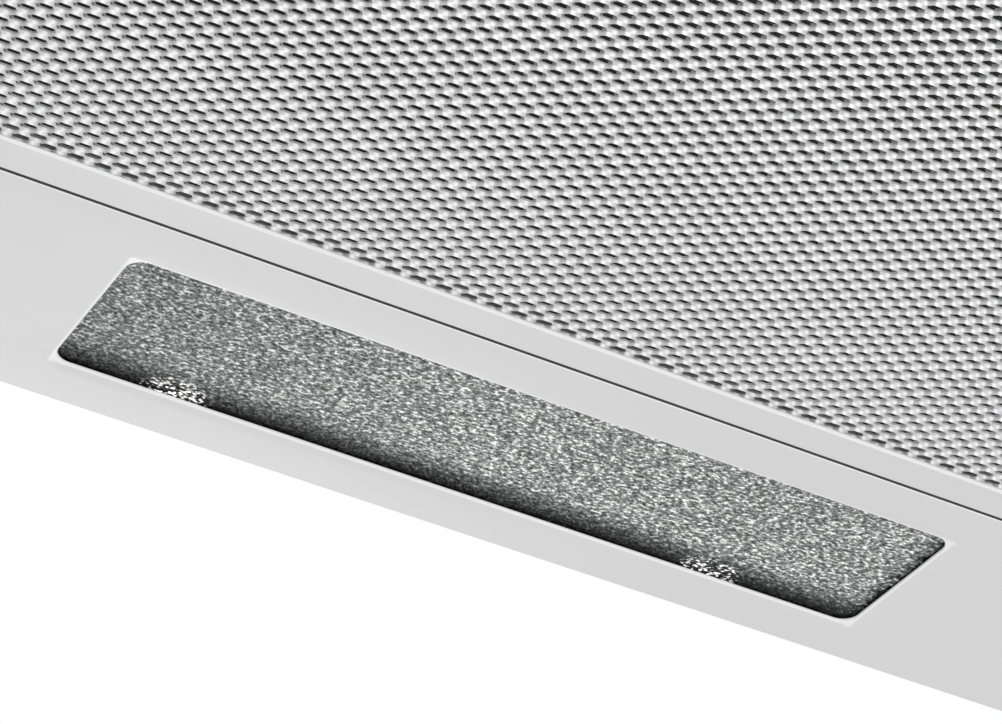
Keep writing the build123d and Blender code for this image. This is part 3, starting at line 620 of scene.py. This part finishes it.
@dataclass
class LensPanel:
    """Bent front sheet: upright lip, flat underside with the lens opening, flange at the seam.

    The sheet's outer surface is a grid of x against a profile in (y, z). Round the opening the
    sheet rises in an S-curve and then turns up through a small quarter round.
    """

    sheet: float = 0.8 * MM
    bend: float = 1.6 * MM
    lens_lap: float = 6.0 * MM
    corner: float = 6.0 * MM
    draw_width: float = 5.5 * MM
    draw_rise: float = 0.45 * MM
    edge_round: float = 0.8 * MM
    # Width round the lens opening that gets the painted highlight.
    edge_highlight_width: float = 1.2 * MM
    margin: float = 9.0 * MM
    flange: float = 12.0 * MM
    bezel: float = 2.0 * MM
    latch_window: float = 8.0 * MM
    latch_heights: tuple[float, float] = (3.2 * MM, 7.3 * MM)
    even_step: float = 30.0 * MM
    line_gap: float = 0.4 * MM
    # Shares of the bend that bound the painted seam shade: back from the flange and up from the underside.
    seam_shade_span: tuple[float, float] = (0.6, 0.12)
    body: str = "root"

    def opening(self) -> tuple[float, float, float, float]:
        """The lens opening as x0, x1, y0, y1: the lens's box less its hidden lap."""
        low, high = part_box("lamp_lens")
        lap = self.lens_lap
        return low[0] + lap, high[0] - lap, low[1] + lap, high[1] - lap

    def build(self) -> bpy.types.Object:
        """Builds the panel and puts it in the CAD panel's place."""
        low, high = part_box("lens_panel")
        x0, x1, y0, y1 = self.opening()
        m = self.margin
        ring, ring_out = Outline(x0, x1, y0, y1, self.corner, 12, side_step=0.012).walk()
        plate = self._ring_plate(ring, ring_out, (x0 - m, x1 + m, y0 - m, y1 + m), low[2])
        cuts = self._cuts(low[2])
        sides = [side for cut in cuts for side in cut[:2]]
        xs = self._lines(low[0], high[0], (x0 - m, x1 + m), plate["rim"][:, 0], sides)
        profile = self._profile(low, high, plate["rim"][:, 1], cuts)
        grid = np.zeros((len(profile), len(xs), 3))
        grid[..., 0] = xs
        grid[..., 1] = profile[:, None, 0]
        grid[..., 2] = profile[:, None, 1]
        keep = self._kept_cells(xs, profile, (x0 - m, x1 + m, y0 - m, y1 + m), low[2], cuts)
        quads = grid_quads(len(profile), len(xs))[keep.ravel()]
        points = np.concatenate([grid.reshape(-1, 3), plate["points"].reshape(-1, 3)])
        ring_quads = plate["quads"] + grid.shape[0] * grid.shape[1]
        piece = mesh_piece("lens_panel_sheet", points, np.concatenate([quads[:, ::-1], ring_quads]))
        weld(piece)
        solidify(piece, self.sheet)
        dress(piece, Finishes.WHITE_PAINT)
        # Painted highlight on the seam bend and flange, and round the lens opening's turned edge.
        e = self.edge_highlight_width
        seam, shown = high[1] - self.seam_shade_span[0] * self.bend, low[2] + self.seam_shade_span[1] * self.bend
        dress_faces(piece, Finishes.EDGE_PAINT, lambda x, y, z, nz: (
            (y > high[1] - self.bend) | ((x > x0 - e) & (x < x1 + e) & (y > y0 - e) & (y < y1 + e))))
        # Painted shade on the upper part of the seam bend and on the flange, inside the gap.
        dress_faces(piece, Finishes.SEAM_PAINT, lambda x, y, z, nz: (y > seam) & (z > shown))
        return place(piece, self.body, "lens_panel")

    def _cuts(self, bottom: float) -> list[Cut]:
        """Rectangular cuts as x0, x1, z0, z1 and whether they are in the lip (else in the flange)."""
        cuts = []
        for name in ("fan_switch_case", "light_switch_case"):
            a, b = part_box(name)
            cuts.append((a[0] + self.bezel, b[0] - self.bezel, a[2] + self.bezel, b[2] - self.bezel, True))
        for name in ("filter_latch_left", "filter_latch_right"):
            a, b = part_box(name)
            middle = (a[0] + b[0]) / 2
            z0, z1 = (bottom + height for height in self.latch_heights)
            cuts.append((middle - self.latch_window, middle + self.latch_window, z0, z1, False))
        return cuts

    def _lines(self, low: float, high: float, gap: tuple[float, float], *places: Sequence[float]) -> Array:
        """Grid lines at the given places, with even lines between them and the ends outside a gap."""
        needed = np.concatenate([[low, high], *[np.asarray(p, float) for p in places]])
        even = np.linspace(low, high, int((high - low) / self.even_step) + 2)
        even = even[(even < gap[0]) | (even > gap[1])]
        clear = np.abs(even[:, None] - needed[None, :]).min(1) > self.line_gap
        return np.unique(np.round(np.concatenate([needed, even[clear]]), 6))

    def _profile(self, low: Sequence[float], high: Sequence[float], rim_y: Array, cuts: list[Cut]) -> Array:
        """(y, z) down the lip, round the bend, along the underside, round the bend, up the flange."""
        r = self.bend
        in_lip = [cut[2:4] for cut in cuts if cut[4]]
        in_flange = [cut[2:4] for cut in cuts if not cut[4]]
        lip_z = self._lines(low[2] + r, high[2], (0, 0), *in_lip)[::-1]
        flange_z = self._lines(low[2] + r, low[2] + self.flange, (0, 0), *in_flange)
        under = self._lines(low[1] + r, high[1] - r, (rim_y.min(), rim_y.max()), rim_y)
        return np.concatenate([
            np.stack([np.full(len(lip_z), low[1]), lip_z], -1),
            arc((low[1] + r, low[2] + r), r, 180, 270, 8)[1:-1],
            np.stack([under, np.full(len(under), low[2])], -1),
            arc((high[1] - r, low[2] + r), r, 270, 360, 8)[1:-1],
            np.stack([np.full(len(flange_z), high[1]), flange_z], -1),
        ])

    @staticmethod
    def _kept_cells(xs: Array, profile: Array, hole: tuple[float, float, float, float], bottom: float,
                    cuts: list[Cut]) -> Array:
        """Which cells of the grid stay: all but those in the lens plate, the switches and the latches."""
        x = (xs[1:] + xs[:-1]) / 2
        y = (profile[1:, 0] + profile[:-1, 0]) / 2
        z = (profile[1:, 1] + profile[:-1, 1]) / 2
        across = (x > hole[0]) & (x < hole[1])
        along = (y > hole[2]) & (y < hole[3]) & (z < bottom + TINY)
        keep = ~(along[:, None] & across[None, :])
        front = y < (profile[0, 0] + profile[-1, 0]) / 2
        for x0, x1, z0, z1, in_lip in cuts:
            rows = (z > z0) & (z < z1) & (front if in_lip else ~front)
            keep &= ~(rows[:, None] & ((x > x0) & (x < x1))[None, :])
        return keep

    def _ring_plate(self, ring: Array, out: Array, hole: tuple[float, float, float, float],
                    bottom: float) -> dict[str, Array]:
        """Sheet between a rectangle and the lens opening.

        A point at distance d outside the opening has height rise * (1 - s(d / width)), where s is
        the smooth step; the last turn up is a quarter round. The rim lies on the rectangle.

        Args:
            ring: places round the opening.
            out: outward normals there.
            hole: the rectangle as x0, x1, y0, y1.
            bottom: height of the flat underside.

        Returns:
            points, quads and the rim's places.
        """
        rim = grow(ring, out, self.corner, self.margin, np.inf)
        rim[:, 0] = np.clip(rim[:, 0], hole[0], hole[1])
        rim[:, 1] = np.clip(rim[:, 1], hole[2], hole[3])
        rim = np.round(rim, 6)
        steps = np.linspace(1.0, self.edge_round / self.draw_width, 14)
        layers = [at_height(rim, bottom)]
        for share in steps:
            rise = self.draw_rise * (1 - smooth_step(share))
            layers.append(at_height(ring + out * (share * self.draw_width), bottom + rise))
        top = layers[-1][0, 2]
        for angle in np.radians(np.linspace(15, 90, 6)):
            away, rise = self.edge_round * (1 - np.sin(angle)), self.edge_round * (1 - np.cos(angle))
            layers.append(at_height(ring + out * away, top + rise))
        quads = grid_quads(len(layers), len(ring), wrap_columns=True)[:, ::-1]
        return {"points": np.stack(layers), "quads": quads, "rim": rim}


@dataclass
class FilterFrame:
    """Painted rim of the filter: a channel carried round the opening, with a bead at its inner edge.

    Its outer surface is a grid of (margin, z) profile points against places round the opening.
    """

    strip: float = 13.35 * MM
    corner: float = 4.0 * MM
    bead: float = 0.06 * MM
    edge_round: float = 0.45 * MM
    bend: float = 1.2 * MM
    sheet: float = 0.8 * MM
    slot_half: float = 12.5 * MM
    slot: tuple[float, float] = (5.15 * MM, 12.15 * MM)
    window_half: float = 7.5 * MM
    window: tuple[float, float] = (3.2 * MM, 7.3 * MM)
    squareness: float = 9.0
    bead_fade: float = 1.6 * MM
    top_flange: tuple[float, float] = (0.4 * MM, 6.0 * MM)
    turned: float = 0.97
    body: str = "filter"

    def build(self) -> bpy.types.Object:
        """Builds the frame and puts it in the CAD frame's place."""
        low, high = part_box("filter_frame")
        latches = [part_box(name) for name in ("filter_latch_left", "filter_latch_right")]
        middles = [(a[0] + b[0]) / 2 for a, b in latches]
        halves = (self.slot_half, self.window_half)
        extra = tuple(m + side * half for m in middles for half in halves for side in (-1, 1))
        strip = self.strip
        outline = Outline(low[0] + strip, high[0] - strip, low[1] + strip, high[1] - strip, self.corner, 10,
                          extra)
        ring, out = outline.walk()
        profile = self._profile(low[2], high[2])
        layers = [
            at_height(grow(ring, out, self.corner, m, 2 + (self.squareness - 2) * m / strip), z)
            for m, z in profile
        ]
        quads = grid_quads(len(layers), len(ring), wrap_columns=True)
        keep = self._kept_cells(ring, out, profile, middles, low[2])
        piece = mesh_piece("filter_rim", np.concatenate(layers), quads[keep.ravel()][:, ::-1])
        solidify(piece, self.sheet)
        dress(piece, Finishes.WHITE_PAINT)
        # Painted highlight on the rim's turned faces round its inner edge.
        e = self.edge_round
        dress_faces(piece, Finishes.EDGE_PAINT, lambda x, y, z, nz: (
            (np.abs(nz) < self.turned) & (x > outline.x0 - e) & (x < outline.x1 + e)
            & (y > outline.y0 - e) & (y < outline.y1 + e)))
        return place(piece, self.body, "filter_frame")

    def _profile(self, bottom: float, top: float) -> Array:
        """(margin, z) from the inner edge, under the strip, up the outside and back over the top."""
        r, edge = self.bend, self.edge_round
        low = bottom - self.bead
        share = np.linspace(0, 1, 6)[1:]
        fade = np.stack([edge + share * self.bead_fade, low + self.bead * smooth_step(share)], -1)
        wall = [bottom + self.window[0], bottom + self.window[1]]
        return np.concatenate([
            arc((edge, low + edge), edge, 180, 270, 5),
            fade,
            np.array([(self.slot[0], bottom), (self.slot[1], bottom)]),
            arc((self.strip - r, bottom + r), r, 270, 360, 6),
            np.array([(self.strip, z) for z in wall]),
            arc((self.strip - r, top - r), r, 0, 90, 6),
            np.array([(margin, top) for margin in reversed(self.top_flange)]),
        ])

    def _kept_cells(self, ring: Array, out: Array, profile: Array, middles: Sequence[float],
                    bottom: float) -> Array:
        """Which cells stay: all but the latches' slots below and windows in the front wall."""
        following = np.roll(ring, -1, axis=0)
        x = (ring[:, 0] + following[:, 0]) / 2
        front = (out[:, 1] < -0.99) & (np.roll(out, -1, axis=0)[:, 1] < -0.99)
        m = (profile[1:, 0] + profile[:-1, 0]) / 2
        z = (profile[1:, 1] + profile[:-1, 1]) / 2
        below = (m > self.slot[0]) & (m < self.slot[1]) & (z < bottom + TINY)
        wall = (m > self.strip - TINY) & (z > bottom + self.window[0]) & (z < bottom + self.window[1])
        keep = np.ones((len(m), len(ring)), bool)
        for middle in middles:
            keep &= ~(below[:, None] & (front & (np.abs(x - middle) < self.slot_half))[None, :])
            keep &= ~(wall[:, None] & (front & (np.abs(x - middle) < self.window_half))[None, :])
        return keep


@dataclass
class ExpandedMesh:
    """Expanded metal: rows of zigzag strands, each joined to the next at its knuckles.

    With c = cos(2 pi x / cell_x + pi k) and s = tanh(f c) / tanh(f), which flattens the zigzag at
    the knuckles, the middle of strand k follows
        y = (k + 1/2) * row - (row / 2 - width / 2 * cos tilt) * s
        z = z_0 + width / 2 * sin tilt * s
    and its width leans by the tilt, rising towards the wall.
    """

    node: str
    finish: Finishes
    cell_x: float = 8.82 * MM
    cell_y: float = 6.0 * MM
    width: float = 1.2 * MM
    tilt: float = 50.0
    thick: float = 0.32 * MM
    flatness: float = 3.2
    phases: tuple[float, ...] = (0.0, 0.33, 0.44, 0.56, 0.67)
    shift: tuple[float, float] = (0.0, 0.0)
    inset: float = 1.0 * MM
    clear: float = 0.1 * MM
    rim_sheet: float = 0.8 * MM
    pieces: int = 1
    body: str = "filter"

    def build(self) -> list[bpy.types.Object]:
        """Builds the layer in the CAD plate's place, as one or more pieces of whole rows."""
        low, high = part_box(self.node)
        x0, x1 = low[0] + self.inset, high[0] - self.inset
        y0, y1 = low[1] + self.inset, high[1] - self.inset
        row = self.cell_y / 2
        rows = int((y1 - y0) / row)
        first = (y0 + y1 - rows * row) / 2 + self.shift[1]
        half_cell = self.cell_x / 2
        halves = int((x1 - x0 - abs(self.shift[0])) / half_cell)
        start = (x0 + x1 - halves * half_cell) / 2
        first_half = np.ceil((start - self.shift[0]) / half_cell)
        stations = ((first_half + np.arange(halves))[:, None] + np.array(self.phases)).ravel()
        x = stations * half_cell + self.shift[0]
        lean = np.radians(self.tilt)
        rise = self.width * np.sin(lean) + self.clear
        z_middle = min(low[2] + rise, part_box("filter_frame")[1][2] - self.rim_sheet - rise)
        built = []
        for number, chosen in enumerate(np.array_split(np.arange(rows), self.pieces)):
            points, quads = self._strands(x, first, chosen, z_middle)
            name = self.node + "_strands" + (f"_{number + 1}" if self.pieces > 1 else "")
            piece = mesh_piece(name, points, quads)
            dress(piece, self.finish)
            built.append(place(piece, self.body, self.node))
        return built

    def _strands(self, x: Array, first: float, rows: Array, z_middle: float) -> tuple[Array, Array]:
        """Points and quads of some rows of strands.

        Args:
            x: stations along each strand.
            first: y of the first row's lower knuckles.
            rows: row numbers.
            z_middle: height of the sheet's middle.

        Returns:
            (n, 3) points and (m, 4) quads.
        """
        row = self.cell_y / 2
        lean = np.radians(self.tilt)
        wave = np.cos(2 * np.pi * (x[None, :] - self.shift[0]) / self.cell_x + np.pi * rows[:, None])
        sway = np.tanh(self.flatness * wave) / np.tanh(self.flatness)
        half = self.width / 2
        y = first + (rows[:, None] + 0.5) * row - (row / 2 - half * np.cos(lean)) * sway
        z = z_middle + half * np.sin(lean) * sway
        across, along = np.cos(lean), np.sin(lean)
        face = [(-half, 0.0), (half, 0.0)]
        if self.thick:
            back = [(half, -self.thick), (-half, -self.thick)]
            face = [*face, face[1], back[0], *back, back[1], face[0]]
        ring = np.array([(a * across + b * along, a * along - b * across) for a, b in face])
        points = np.empty((len(rows), len(x), len(ring), 3))
        points[..., 0] = x[None, :, None]
        points[..., 1] = y[:, :, None] + ring[:, 0]
        points[..., 2] = z[:, :, None] + ring[:, 1]
        one = grid_quads(len(x), len(ring)).reshape(len(x) - 1, -1, 4)[:, ::2].reshape(-1, 4)
        shift = np.arange(len(rows))[:, None, None] * len(x) * len(ring)
        return points.reshape(-1, 3), (one[None] + shift).reshape(-1, 4)


@dataclass
class LampLens:
    """Pebbled lens: a shallow tray whose pane closes the opening and whose wall stands up round it."""

    lap: float = 6.0 * MM
    corner: float = 6.0 * MM
    pane: float = 2.5 * MM
    gap: float = 0.5 * MM
    wall: float = 2.5 * MM
    body: str = "root"

    def build(self) -> bpy.types.Object:
        """Builds the lens as rings of (margin, z) round the opening, closed by two flat lids."""
        low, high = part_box("lamp_lens")
        ring, out = Outline(low[0] + self.lap, high[0] - self.lap, low[1] + self.lap, high[1] - self.lap,
                            self.corner, 12).walk()
        shoulder = low[2] + self.pane
        outer = self.gap + self.wall
        profile = [(self.lap, low[2]), (self.lap, shoulder), (outer, shoulder), (outer, high[2]),
                   (self.gap, high[2]), (self.gap, shoulder)]
        layers = [at_height(grow(ring, out, self.corner, m), z) for m, z in profile]
        count = len(ring)
        under, inside = np.arange(count)[::-1], (len(layers) - 1) * count + np.arange(count)
        quads = grid_quads(len(layers), count, wrap_columns=True)
        points = np.concatenate(layers)
        piece = mesh_piece("lamp_lens_tray", points, quads, smooth=False, lids=[under, inside])
        dress(piece, Finishes.LENS)
        return place(piece, self.body, "lamp_lens")


@dataclass
class LatchSpring:
    """Flat zigzag spring between a filter latch and the frame, which shortens as the latch slides.

    Along the share t of its width its middle follows y = arcsin(k cos(pi folds t)) / arcsin(k), a
    zigzag whose turns are rounded by k below 1.
    """

    side: str
    wall: float = 0.4 * MM
    folds: int = 4
    sharpness: float = 0.96
    travel: float = 4.0 * MM
    body: str = "filter"

    def build(self) -> bpy.types.Object:
        """Builds the strip in the CAD spring's place."""
        low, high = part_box(f"latch_spring_{self.side}")
        half = self.wall / 2
        share = np.linspace(0.0, 1.0, 30 * self.folds + 1)
        swing = np.cos(np.pi * self.folds * share)
        wave = np.arcsin(self.sharpness * swing) / np.arcsin(self.sharpness)
        x = low[0] + half + (high[0] - low[0] - self.wall) * share
        y = (low[1] + high[1]) / 2 + ((high[1] - low[1]) / 2 - half) * wave
        slope = np.gradient(y, x)
        normal = np.stack([-slope, np.ones_like(slope)], -1) / np.hypot(slope, 1.0)[:, None]
        section = np.array([(-half, low[2]), (half, low[2]), (half, high[2]), (-half, high[2])])
        count = len(section)
        points = np.empty((len(x), count, 3))
        points[..., 0] = x[:, None] + normal[:, :1] * section[:, 0]
        points[..., 1] = y[:, None] + normal[:, 1:] * section[:, 0]
        points[..., 2] = section[:, 1]
        lids = [np.arange(count)[::-1], (len(x) - 1) * count + np.arange(count)]
        piece = mesh_piece(f"latch_spring_{self.side}_strip", points.reshape(-1, 3),
                           grid_quads(len(x), count, wrap_columns=True), smooth=False, lids=lids)
        dress(piece, Finishes.SPRING)
        place(piece, self.body, f"latch_spring_{self.side}")
        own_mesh(piece)
        return piece


# ---------------------------------------------------------------- studio


@dataclass(frozen=True)
class SoftLight:
    """Rectangular light, in metres and watts, aimed at a point."""

    name: str
    place: tuple[float, float, float]
    size: tuple[float, float]
    power: float
    aim: tuple[float, float, float] = (0.0, -0.2, -0.14)

    def build(self) -> None:
        """Sets the light up."""
        data = bpy.data.lights.new(self.name, "AREA")
        data.shape = "RECTANGLE"
        data.size, data.size_y = self.size
        data.energy = self.power
        lamp = bpy.data.objects.new(self.name, data)
        bpy.context.scene.collection.objects.link(lamp)
        towards = Vector(self.aim) - Vector(self.place)
        turn = towards.to_track_quat("-Z", "Y").to_matrix().to_4x4()
        lamp.matrix_world = Matrix.Translation(self.place) @ turn


@dataclass
class Studio:
    """Camera, floor and soft light."""

    focal: float = 140.8
    lens_length: float = 0.300
    camera_from_corner: tuple[float, float, float] = (1.107, 3.100, -2.309)
    right: tuple[float, float, float] = (-0.8782, 0.4752, 0.0543)
    up: tuple[float, float, float] = (0.3067, 0.4724, 0.8263)
    floor_drop: float = 3.5
    lights: tuple[SoftLight, ...] = (
        SoftLight("soft_behind", (0.1, 2.2, -1.2), (1.4, 1.4), 24.5),
        SoftLight("soft_front", (-0.4, -2.4, -1.2), (1.0, 1.0), 8.0),
        SoftLight("soft_above", (-0.8, -1.2, 1.6), (1.6, 1.6), 12.0),
        SoftLight("strip_below", (-0.45, -0.42, -1.35), (1.2, 0.16), 4.0, aim=(-0.45, -0.2, -0.14)),
    )

    def camera(self, corner: Vector) -> None:
        """Camera below and behind the hood, looking up to the front; corner is the lens's near corner."""
        data = bpy.data.cameras.new("camera")
        data.sensor_width = 36.0
        data.lens = self.focal
        data.clip_start = 0.01
        data.clip_end = 50.0
        camera = bpy.data.objects.new("camera", data)
        bpy.context.scene.collection.objects.link(camera)
        right = Vector(self.right).normalized()
        up = (Vector(self.up) - right * right.dot(Vector(self.up))).normalized()
        back = right.cross(up)
        place = corner + Vector(self.camera_from_corner) * self.lens_length
        camera.matrix_world = Matrix.Translation(place) @ Matrix((right, up, back)).transposed().to_4x4()
        bpy.context.scene.camera = camera

    def world(self, seen: float = 1.0, light: float = 0.5) -> None:
        """White background; the light it gives is set apart from how bright it looks."""
        world = bpy.data.worlds.new("studio")
        bpy.context.scene.world = world
        world.use_nodes = True
        tree = world.node_tree
        background = tree.nodes["Background"]
        background.inputs["Color"].default_value = (1.0, 1.0, 1.0, 1.0)
        path = tree.nodes.new("ShaderNodeLightPath")
        level = tree.nodes.new("ShaderNodeMapRange")
        level.inputs["To Min"].default_value = light
        level.inputs["To Max"].default_value = seen
        tree.links.new(path.outputs["Is Camera Ray"], level.inputs["Value"])
        tree.links.new(level.outputs["Result"], background.inputs["Strength"])

    def floor(self, size: float = 9.0) -> None:
        """Plain pale floor, well below the hood."""
        half = size / 2
        z = -self.floor_drop
        corners = np.array([(-half, -half, z), (half, -half, z), (half, half, z), (-half, half, z)])
        floor = mesh_piece("floor", corners, np.array([[0, 1, 2, 3]]), smooth=False)
        graph = Graph("pale_floor")
        graph.link(graph.tint(graph.noise(3.0), (0.80, 0.80, 0.80), (0.82, 0.82, 0.82)), "Base Color")
        graph.value("Roughness", 0.8)
        floor.data.materials.append(graph.material)

    def build(self, corner: Vector) -> None:
        """Sets the whole studio up."""
        self.camera(corner)
        self.world()
        self.floor()
        for light in self.lights:
            light.build()
        view = bpy.context.scene.view_settings
        view.view_transform = "Standard"
        view.look = "None"


def dress_nodes() -> None:
    """Gives every CAD node the finish of its material slot."""
    slots = {entry["node"]: entry["material_slot"] for entry in frame["record"]["subparts"]}
    by_slot = {finish.value.slot: finish for finish in reversed(Finishes)}
    for node, piece in frame["nodes"].items():
        finish = by_slot[slots[node]]
        piece.data.materials.clear()
        piece.data.materials.append(finish.material())
        LOG.info("%s: %s", node, finish.value.name)


def main() -> None:
    """Builds the pieces in order and reports each one."""
    logging.basicConfig(level=logging.INFO, format="%(message)s")
    dress_nodes()
    panel = LensPanel()
    panel.build()
    FilterFrame().build()
    hidden = partial(ExpandedMesh, thick=0.0, phases=(0.0, 0.32, 0.5, 0.68))
    # As painted shade, the second and inner layers get a grey copy of the mesh finish and the third a
    # near-black one.
    layers = [
        ExpandedMesh("filter_mesh_outer", Finishes.MESH, pieces=4),
        hidden("filter_mesh_second", Finishes.MESH_DEEP, width=0.95 * MM, tilt=30.0,
               shift=(-1.2 * MM, -1.3 * MM)),
        hidden("filter_mesh_third", Finishes.MESH_DARK, width=1.0 * MM, tilt=45.0,
               shift=(2.0 * MM, 1.0 * MM)),
        hidden("filter_mesh_inner", Finishes.MESH_DEEP, width=1.0 * MM, tilt=30.0),
    ]
    for layer in layers:
        layer.build()
    LampLens().build()
    for side in ("left", "right"):
        LatchSpring(side).build()
    _, x1, _, y1 = panel.opening()
    Studio().build(Vector((x1, y1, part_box("lens_panel")[0][2])))


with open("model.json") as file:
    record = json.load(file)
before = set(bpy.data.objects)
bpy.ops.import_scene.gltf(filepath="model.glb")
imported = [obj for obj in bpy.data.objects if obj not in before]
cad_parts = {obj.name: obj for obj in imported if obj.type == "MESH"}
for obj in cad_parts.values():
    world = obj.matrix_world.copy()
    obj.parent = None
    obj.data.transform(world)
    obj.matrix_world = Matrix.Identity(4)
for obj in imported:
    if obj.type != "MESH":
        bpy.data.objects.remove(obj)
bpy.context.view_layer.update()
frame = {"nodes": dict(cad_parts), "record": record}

if __name__ == "__main__":
    main()
